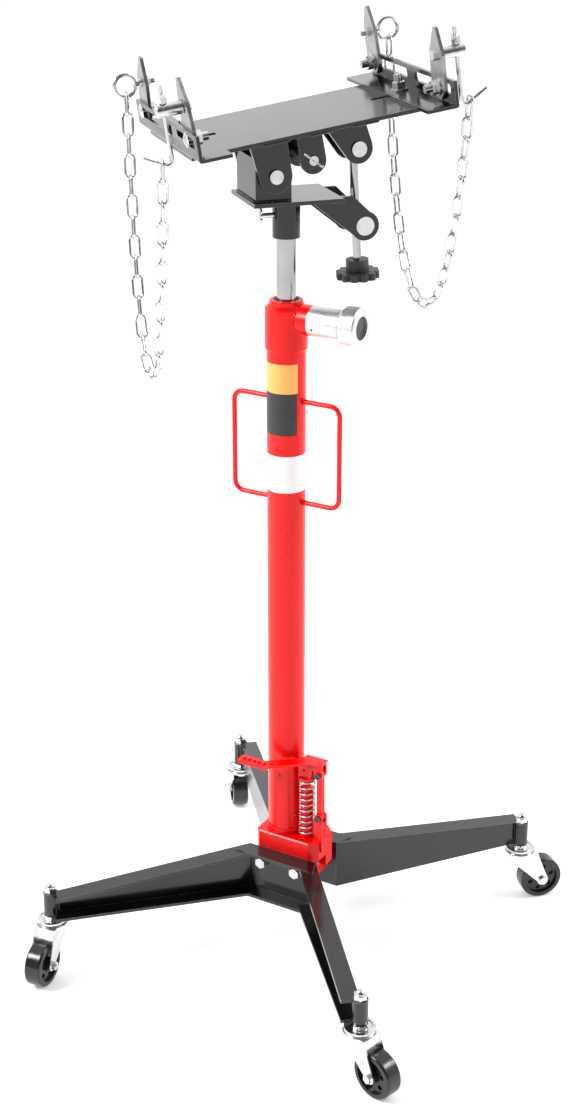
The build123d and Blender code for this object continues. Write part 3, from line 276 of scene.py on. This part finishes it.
def place_group(tree, effect, **values):
    """Places a shared effect in a material with its own values."""
    node = tree.nodes.new("ShaderNodeGroup")
    node.node_tree = effect
    for label, value in values.items():
        node.inputs[label].default_value = value
    return node


def mix_colour(tree, mask, first, second):
    """Blends two colours (or a node's output and a colour) by a mask."""
    node = tree.nodes.new("ShaderNodeMix")
    node.data_type = "RGBA"
    tree.links.new(mask, node.inputs[0])
    for socket, value in ((node.inputs[6], first), (node.inputs[7], second)):
        if isinstance(value, tuple):
            socket.default_value = (*value, 1.0)
        else:
            tree.links.new(value, socket)
    return node.outputs[2]


def value_range(tree, mask, low, high):
    """Turns a mask from 0 to 1 into a value between two limits."""
    node = tree.nodes.new("ShaderNodeMapRange")
    node.inputs["To Min"].default_value = low
    node.inputs["To Max"].default_value = high
    tree.links.new(mask, node.inputs["Value"])
    return node.outputs["Result"]


def add_bump(tree, shader, height, strength, distance):
    """Feeds a height into the shader's normal."""
    node = tree.nodes.new("ShaderNodeBump")
    node.inputs["Strength"].default_value = strength
    node.inputs["Distance"].default_value = distance
    tree.links.new(height, node.inputs["Height"])
    tree.links.new(node.outputs["Normal"], shader.inputs["Normal"])
    return node


# %% Paint maker
def paint(name, light, dark, worn, rough, gloss, coat, ripple_depth, wear):
    """Sprayed paint: two close shades, a ripple, and wear along the edges."""
    made, tree, shader = new_material(name)
    cloud = place_group(tree, clouds, Scale=9.0, Contrast=1.6)
    edge = place_group(tree, edges, Radius=0.0012, Strength=wear)
    shade = mix_colour(tree, cloud.outputs["Mask"], dark, light)
    tree.links.new(mix_colour(tree, edge.outputs["Mask"], shade, worn), shader.inputs["Base Color"])
    tree.links.new(value_range(tree, cloud.outputs["Mask"], *rough), shader.inputs["Roughness"])
    shader.inputs["Coat Weight"].default_value = coat
    shader.inputs["Coat Roughness"].default_value = 0.06
    shader.inputs["Specular IOR Level"].default_value = gloss
    surface = place_group(tree, ripple, Scale=160.0, Grit=0.1)
    add_bump(tree, shader, surface.outputs["Height"], 0.12, ripple_depth)
    return made


red_gloss = paint("red_gloss_paint", (0.86, 0.0, 0.0), (0.74, 0.0, 0.0), (0.90, 0.10, 0.08),
                  (0.24, 0.34), 0.28, 0.10, 0.0006, 0.6)
black_gloss = paint("black_enamel_paint", (0.005, 0.005, 0.0055), (0.003, 0.003, 0.003), (0.20, 0.20, 0.20),
                    (0.14, 0.24), 0.5, 0.25, 0.0004, 0.9)
print("paints", red_gloss.name, black_gloss.name)

# %% [markdown]
# ## Metal
# The small hardware is zinc plated and bright, with a slight cloudiness from the bath.
# The ram is hard chrome with very fine turning marks round it. The release knob is turned
# aluminium, and the inner steel is plain machined.

# %% Metal maker
def metal(name, light, dark, rough, cloud_scale, across, along, depth):
    """Bare or plated metal: cloudy shade, changing gloss and fine marks."""
    made, tree, shader = new_material(name)
    cloud = place_group(tree, clouds, Scale=cloud_scale, Contrast=2.0)
    tree.links.new(mix_colour(tree, cloud.outputs["Mask"], dark, light), shader.inputs["Base Color"])
    tree.links.new(value_range(tree, cloud.outputs["Mask"], *rough), shader.inputs["Roughness"])
    shader.inputs["Metallic"].default_value = 1.0
    fine = place_group(tree, marks, Across=across, Along=along)
    add_bump(tree, shader, fine.outputs["Height"], 0.2, depth)
    return made


zinc = metal("bright_zinc", (0.78, 0.78, 0.77), (0.50, 0.50, 0.50), (0.12, 0.30), 70.0, 500.0, 500.0, 0.0003)
nickel = metal("pressed_zinc_sheet", (0.84, 0.84, 0.83),
               (0.68, 0.68, 0.67), (0.20, 0.36), 35.0, 250.0, 250.0, 0.0004)
dull_zinc = metal("dull_zinc_plate", (0.50, 0.50, 0.50),
                  (0.34, 0.34, 0.34), (0.28, 0.45), 80.0, 700.0, 90.0, 0.0003)
chrome = metal("ram_chrome", (0.50, 0.50, 0.51), (0.40, 0.40, 0.41), (0.10, 0.18), 15.0, 2500.0, 8.0, 0.0001)
turned_alloy = metal("turned_aluminium", (0.80, 0.80, 0.80),
                     (0.66, 0.66, 0.66), (0.34, 0.50), 160.0, 400.0, 400.0, 0.0004)
machined = metal("machined_steel", (0.55, 0.55, 0.55),
                 (0.45, 0.45, 0.45), (0.25, 0.4), 50.0, 900.0, 50.0, 0.0002)
print("metals", 6)

# %% [markdown]
# ## Plastic and rubber
# The wheels and the lobed hand knob are black plastic. The wheels are smooth and shiny with
# a faint cloudy change of shade, and the knob has a fine moulded grain.

# %% Plastic maker
def plastic(name, light, dark, rough, grain_scale, grain_depth):
    """Moulded plastic or rubber with a fine grain."""
    made, tree, shader = new_material(name)
    cloud = place_group(tree, clouds, Scale=45.0, Contrast=2.2)
    tree.links.new(mix_colour(tree, cloud.outputs["Mask"], dark, light), shader.inputs["Base Color"])
    tree.links.new(value_range(tree, cloud.outputs["Mask"], *rough), shader.inputs["Roughness"])
    grain = place_group(tree, ripple, Scale=grain_scale, Grit=0.5)
    add_bump(tree, shader, grain.outputs["Height"], 0.3, grain_depth)
    return made


wheel_plastic = plastic("wheel_plastic", (0.016, 0.016, 0.016),
                        (0.008, 0.008, 0.008), (0.12, 0.26), 180.0, 0.0004)
knob_plastic = plastic("knob_plastic", (0.030, 0.030, 0.031),
                       (0.018, 0.018, 0.019), (0.38, 0.52), 900.0, 0.0005)
seal_rubber = plastic("seal_rubber", (0.03, 0.03, 0.03), (0.02, 0.02, 0.02), (0.55, 0.7), 500.0, 0.0004)
cap_black = plastic("cap_plastic", (0.06, 0.06, 0.06), (0.04, 0.04, 0.04), (0.35, 0.5), 700.0, 0.0005)
print("plastics", 4)
corners_of_base = ("left", "front", "right", "back")
ends_of_saddle = ("left", "right")

# %% Give every part its finish
finish = {
    red_gloss: ["base_block", "reservoir_tube", "mast_head", "carry_handles", "pump_barrel", "pump_plunger",
                "foot_pedal", "lever_link", "gland_nut"],
    black_gloss: ["leg_frame_front", "leg_frame_rear", "caster_sockets", "swivel_tube", "head_plate",
                  "saddle_frame", "saddle_plate", "frame_washers", "lever_pins",
                  "end_bracket_left", "end_bracket_right"],
    zinc: ["frame_bolts", "caster_stems", "block_plugs", "return_spring", "thumb_screw", "tilt_pin",
           "cross_nut",
           "middle_pin", "chain_left", "chain_right", "screw_swivel"],
    chrome: ["ram", "adjusting_screw"],
    turned_alloy: ["release_knob"],
    machined: ["suction_valve", "pressure_cylinder", "piston", "release_spindle"],
    knob_plastic: ["hand_knob"],
    cap_black: ["knob_insert"],
    seal_rubber: ["oil_seals", "piston_rings"],
    nickel: [f"caster_fork_{name}" for name in corners_of_base],
    wheel_plastic: [f"caster_wheel_{name}" for name in corners_of_base],
    dull_zinc: [],
}
for end in ends_of_saddle:
    finish[zinc] += [f"bracket_bolt_{end}", f"eye_bolt_{end}", f"tension_hook_{end}"]
    finish[dull_zinc] += [f"finger_{end}_back", f"finger_{end}_front"]
for made, names in finish.items():
    for name in names:
        part = bpy.data.objects[name] if name in bpy.data.objects else nodes_by_name[name]
        if not part.material_slots:
            part.data.materials.append(made)
        for place in part.material_slots:
            place.material = made
painted = {name for names in finish.values() for name in names}
print("finished", len(painted), "left over", sorted(set(nodes_by_name) - painted))

# %% [markdown]
# ## Labels
# Three thin printed films are stuck round the mast: an orange panel and a black panel
# below it on the side of the user, and a white band lower down. They carry no words.
# Each is a curved sheet a tenth of a millimetre proud of the paint, with a real edge.

# %% Label maker
MAST_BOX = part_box("reservoir_tube")
MAST_RADIUS = (MAST_BOX[1][0] - MAST_BOX[0][0]) / 2
FILM = 0.00012
FILM_BACK = 0.00002


def add_object(name, mesh, body, made, smooth=True):
    """Links a new piece, gives it its finish and lets it ride on a body."""
    piece = bpy.data.objects.new(name, mesh)
    bpy.context.scene.collection.objects.link(piece)
    mesh.materials.append(made)
    if smooth:
        mesh.polygons.foreach_set("use_smooth", [True] * len(mesh.polygons))
    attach(piece, body)
    return piece


def film_label(name, low, high, start, stop, made):
    """A film wrapped round the mast between two heights and two angles in degrees."""
    work = bmesh.new()
    steps = max(8, int(abs(stop - start) / 3))
    rows = []
    for layer in (FILM, FILM_BACK):
        for height in (low, high):
            row = []
            for k in range(steps + 1):
                angle = math.radians(start + (stop - start) * k / steps)
                reach = MAST_RADIUS + layer
                row.append(work.verts.new((reach * math.cos(angle), reach * math.sin(angle), height)))
            rows.append(row)
    outer_low, outer_high, inner_low, inner_high = rows
    for k in range(steps):
        work.faces.new((outer_low[k], outer_low[k + 1], outer_high[k + 1], outer_high[k]))
        work.faces.new((inner_high[k], inner_high[k + 1], inner_low[k + 1], inner_low[k]))
        work.faces.new((outer_high[k], outer_high[k + 1], inner_high[k + 1], inner_high[k]))
        work.faces.new((inner_low[k], inner_low[k + 1], outer_low[k + 1], outer_low[k]))
    for k in (0, steps):
        work.faces.new((outer_low[k], outer_high[k], inner_high[k], inner_low[k]))
    bmesh.ops.recalc_face_normals(work, faces=work.faces)
    mesh = bpy.data.meshes.new(name)
    work.to_mesh(mesh)
    work.free()
    return add_object(name, mesh, "base", made, smooth=False)


orange_film = plastic("orange_film", (0.90, 0.47, 0.11), (0.84, 0.42, 0.09), (0.30, 0.42), 300.0, 0.0001)
black_film = plastic("black_film", (0.022, 0.022, 0.022), (0.014, 0.014, 0.014), (0.30, 0.42), 300.0, 0.0001)
white_film = plastic("white_film", (0.86, 0.86, 0.86), (0.80, 0.80, 0.80), (0.30, 0.42), 300.0, 0.0001)
film_label("orange_label", 0.9850, 1.0315, -152.0, -25.0, orange_film)
film_label("black_label", 0.9175, 0.9850, -152.0, -27.0, black_film)
film_label("white_band", 0.8235, 0.8835, -172.0, 172.0, white_film)
print("labels", 3, "mast radius", round(MAST_RADIUS, 4))

# %% [markdown]
# ## Plugs in the mast
# Two small plugs close the holes where the mast was hung for painting. Each is a turned
# shape: a low dome with a rim, so a short profile is spun round its axis.

# %% Turned shapes
def turned(name, profile, at, along, body, made, steps=24):
    """Spins a profile of (radius, height) pairs round an axis."""
    work = bmesh.new()
    rings = []
    for radius, height in profile:
        ring = []
        for k in range(steps):
            angle = 2 * math.pi * k / steps
            ring.append(work.verts.new((radius * math.cos(angle), radius * math.sin(angle), height)))
        rings.append(ring)
    for below, above in zip(rings, rings[1:]):
        for k in range(steps):
            work.faces.new((below[k], below[(k + 1) % steps], above[(k + 1) % steps], above[k]))
    work.faces.new(rings[-1])
    work.faces.new(list(reversed(rings[0])))
    turn = Vector(along).normalized().to_track_quat("Z", "Y").to_matrix().to_4x4()
    bmesh.ops.transform(work, matrix=Matrix.Translation(at) @ turn, verts=work.verts)
    bmesh.ops.recalc_face_normals(work, faces=work.faces)
    mesh = bpy.data.meshes.new(name)
    work.to_mesh(mesh)
    work.free()
    return add_object(name, mesh, body, made)


PLUG_PROFILE = [(0.0036, -0.0006), (0.0036, 0.0005), (0.0032, 0.0009), (0.0026, 0.0009), (0.0024, 0.0005),
                (0.0021, 0.0009), (0.0013, 0.0014), (0.0004, 0.0016)]
for index, (height, degrees_round) in enumerate(((0.894, -92.0), (0.320, -85.0))):
    angle = math.radians(degrees_round)
    outward = Vector((math.cos(angle), math.sin(angle), 0))
    at = outward * MAST_RADIUS + Vector((0, 0, height))
    turned(f"mast_plug_{index + 1}", PLUG_PROFILE, at, outward, "base", red_gloss)
print("plugs", 2)

# %% [markdown]
# ## Welds
# The frames are welded from plate and tube, and the beads show through the paint as small
# overlapping ripples. A bead here is a tube along the joint whose radius swells and
# shrinks in steps, like the puddles of a real weld. It is half sunk in the corner.

# %% Bead maker
def frame_at(a, b):
    """Two directions square to the run from a to b."""
    run = (b - a).normalized()
    side = run.cross(Vector((0, 0, 1)))
    if side.length < 0.1:
        side = run.cross(Vector((1, 0, 0)))
    side.normalize()
    return side, run.cross(side)


def bead(name, points, radius, body, made, seed, closed=False):
    """A rippled weld bead along a line of points."""
    chance = random.Random(seed)
    points = [Vector(p) for p in points]
    if closed:
        points.append(points[0])
    path = []
    for a, b in zip(points, points[1:]):
        count = max(1, round((b - a).length / (radius * 0.45)))
        path += [a.lerp(b, k / count) for k in range(count)]
    if not closed:
        path.append(points[-1])
    work = bmesh.new()
    rings = []
    sides = 8
    for k, centre in enumerate(path):
        after = path[(k + 1) % len(path)] if closed else path[min(k + 1, len(path) - 1)]
        before = path[k - 1] if closed else path[max(k - 1, 0)]
        side, up = frame_at(before, after)
        ripple_step = 1 + 0.16 * math.sin(k * 1.9) + chance.uniform(-0.06, 0.06)
        taper = 1.0 if closed else min(1.0, 0.35 + 0.3 * min(k, len(path) - 1 - k))
        reach = radius * ripple_step * taper
        rings.append([work.verts.new(centre + (side * math.cos(q) + up * math.sin(q)) * reach)
                      for q in (2 * math.pi * j / sides for j in range(sides))])
    last = len(rings) if closed else len(rings) - 1
    for k in range(last):
        here, there = rings[k], rings[(k + 1) % len(rings)]
        for j in range(sides):
            work.faces.new((here[j], here[(j + 1) % sides], there[(j + 1) % sides], there[j]))
    if not closed:
        work.faces.new(rings[0])
        work.faces.new(list(reversed(rings[-1])))
    bmesh.ops.recalc_face_normals(work, faces=work.faces)
    mesh = bpy.data.meshes.new(name)
    work.to_mesh(mesh)
    work.free()
    return add_object(name, mesh, body, made)


# %% Where the welds are
HEAD_TURN = math.radians(48.6)
SADDLE_TILT = math.radians(8.5)
TILT_PIN = (-0.033, 1.323)


def on_head(u, v, z):
    """A point of the turned head: along it, across it and up, in metres."""
    c, s = math.cos(HEAD_TURN), math.sin(HEAD_TURN)
    return Vector((u * c - v * s, u * s + v * c, z))


def on_saddle(u, v, w):
    """A point of the tilted saddle, measured from its tilt pin."""
    c, s = math.cos(SADDLE_TILT), math.sin(SADDLE_TILT)
    return on_head(TILT_PIN[0] + u * c - w * s, v, TILT_PIN[1] + u * s + w * c)


def circle(centre, across, up, radius, steps=20):
    """Points round a circle."""
    angles = [2 * math.pi * k / steps for k in range(steps)]
    return [Vector(centre) + (Vector(across) * math.cos(q) + Vector(up) * math.sin(q)) * radius
            for q in angles]


# %% Welds on the mast
handle_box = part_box("carry_handles")
for side in (-1, 1):
    for label, height in (("top", handle_box[1][2] - 0.004), ("foot", handle_box[0][2] + 0.004)):
        ring = circle((side * (MAST_RADIUS + 0.0006), 0, height), (0, 1, 0), (0, 0, 1), 0.0046, 14)
        bead(f"handle_weld_{label}_{'left' if side < 0 else 'right'}", ring, 0.0014, "base", red_gloss,
             11 + side, closed=True)
head_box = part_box("mast_head")
boss_ring = []
HEAD_RADIUS = 0.033
BOSS_RADIUS = 0.02325
BOSS_HEIGHT = 1.099
for k in range(28):
    angle = 2 * math.pi * k / 28
    y = BOSS_RADIUS * math.cos(angle)
    x = math.sqrt(HEAD_RADIUS ** 2 - y ** 2) + 0.0006
    boss_ring.append((x, y, BOSS_HEIGHT + BOSS_RADIUS * math.sin(angle)))
boss_ring = [p for p in boss_ring if p[2] < head_box[1][2] - 0.006]
bead("boss_weld", sorted(boss_ring, key=lambda p: math.atan2(p[1], -(p[2] - BOSS_HEIGHT))), 0.0020, "base",
     red_gloss, 21)
mast_foot = (0, 0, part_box("base_block")[1][2] - 0.0425)
bead("mast_foot_weld", circle(mast_foot, (1, 0, 0), (0, 1, 0), MAST_RADIUS + 0.0008, 40), 0.0018, "base",
     red_gloss, 31, closed=True)
print("welds on the mast", 6)

# %% Welds on the head
tube_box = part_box("swivel_tube")
TUBE_RADIUS = 0.021
swivel_ring = circle((0, 0, tube_box[1][2]), (1, 0, 0), (0, 1, 0), TUBE_RADIUS + 0.0008, 30)
bead("swivel_weld", swivel_ring, 0.0022, "head",
     black_gloss, 41, closed=True)
PLATE_TOP = 1.286
weld_z = PLATE_TOP + 0.0004
for side in (-1, 1):
    where = "near" if side < 0 else "far"
    ends = [on_head(u, side * 0.0466, weld_z) for u in (-0.060, -0.009)]
    bead(f"ear_weld_{where}", ends,
         0.0022, "head", black_gloss, 51 + side)
bead("cross_plate_weld", [on_head(-0.0625, v, weld_z) for v in (-0.044, 0.044)],
     0.0022, "head", black_gloss, 55)
print("welds on the head", 4)

# %% Welds under the saddle
UNDER = 0.0560
ear_lines = {"left": (-0.031, 0.022, 0.0536), "middle": (0.049, 0.081, 0.0352),
             "right": (0.090, 0.150, 0.0258)}
for label, (start, stop, across) in ear_lines.items():
    for side in (-1, 1):
        name = f"saddle_weld_{label}_{'near' if side < 0 else 'far'}"
        bead(name, [on_saddle(u, side * across, UNDER - 0.0003) for u in (start, stop)],
             0.0022, "saddle", black_gloss, 61 + side + len(label))
RAIL_V = 0.1142
for index, (start, stop) in enumerate(((-0.030, 0.010), (0.040, 0.075), (0.105, 0.145))):
    for side in (-1, 1):
        name = f"rail_weld_{index + 1}_{'near' if side < 0 else 'far'}"
        bead(name, [on_saddle(u, side * RAIL_V, UNDER + 0.0058) for u in (start, stop)],
             0.0018, "saddle", black_gloss, 71 + side + index)
print("welds under the saddle", 12)

# %% Welds on the leg ends
for name in corners_of_base:
    where = {"left": (-1, -1), "front": (1, -1), "right": (1, 1), "back": (-1, 1)}[name]
    post = Vector((0.014 + where[0] * 0.291, where[1] * 0.300, 0))
    bend = Vector((0.014 + where[0] * 0.064, where[1] * 0.037, 0))
    toward = (bend - post).normalized()
    aside = Vector((-toward.y, toward.x, 0))
    for turn in (-1, 1):
        foot = post + toward * 0.0110 + aside * turn * 0.0068
        line = [foot + Vector((0, 0, 0.116)), foot + Vector((0, 0, 0.148))]
        bead(f"leg_weld_{name}_{'a' if turn < 0 else 'b'}", line, 0.0018, "base", black_gloss,
             91 + turn)
print("welds on the legs", 8)

# %% [markdown]
# ## Return spring
# The spring is squeezed between the block and the collar of the plunger as the pedal goes
# down. A stiff copy would cut into the collar, and the coil here is such a stiff copy of the
# part, riding on the base in place of the original, which is hidden.

# %% Return spring
spring_mesh = nodes_by_name["return_spring"].data.copy()
spring_mesh.materials.clear()
spring_piece = add_object("pump_spring", spring_mesh, "base", zinc)
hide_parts("return_spring")
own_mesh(spring_piece)
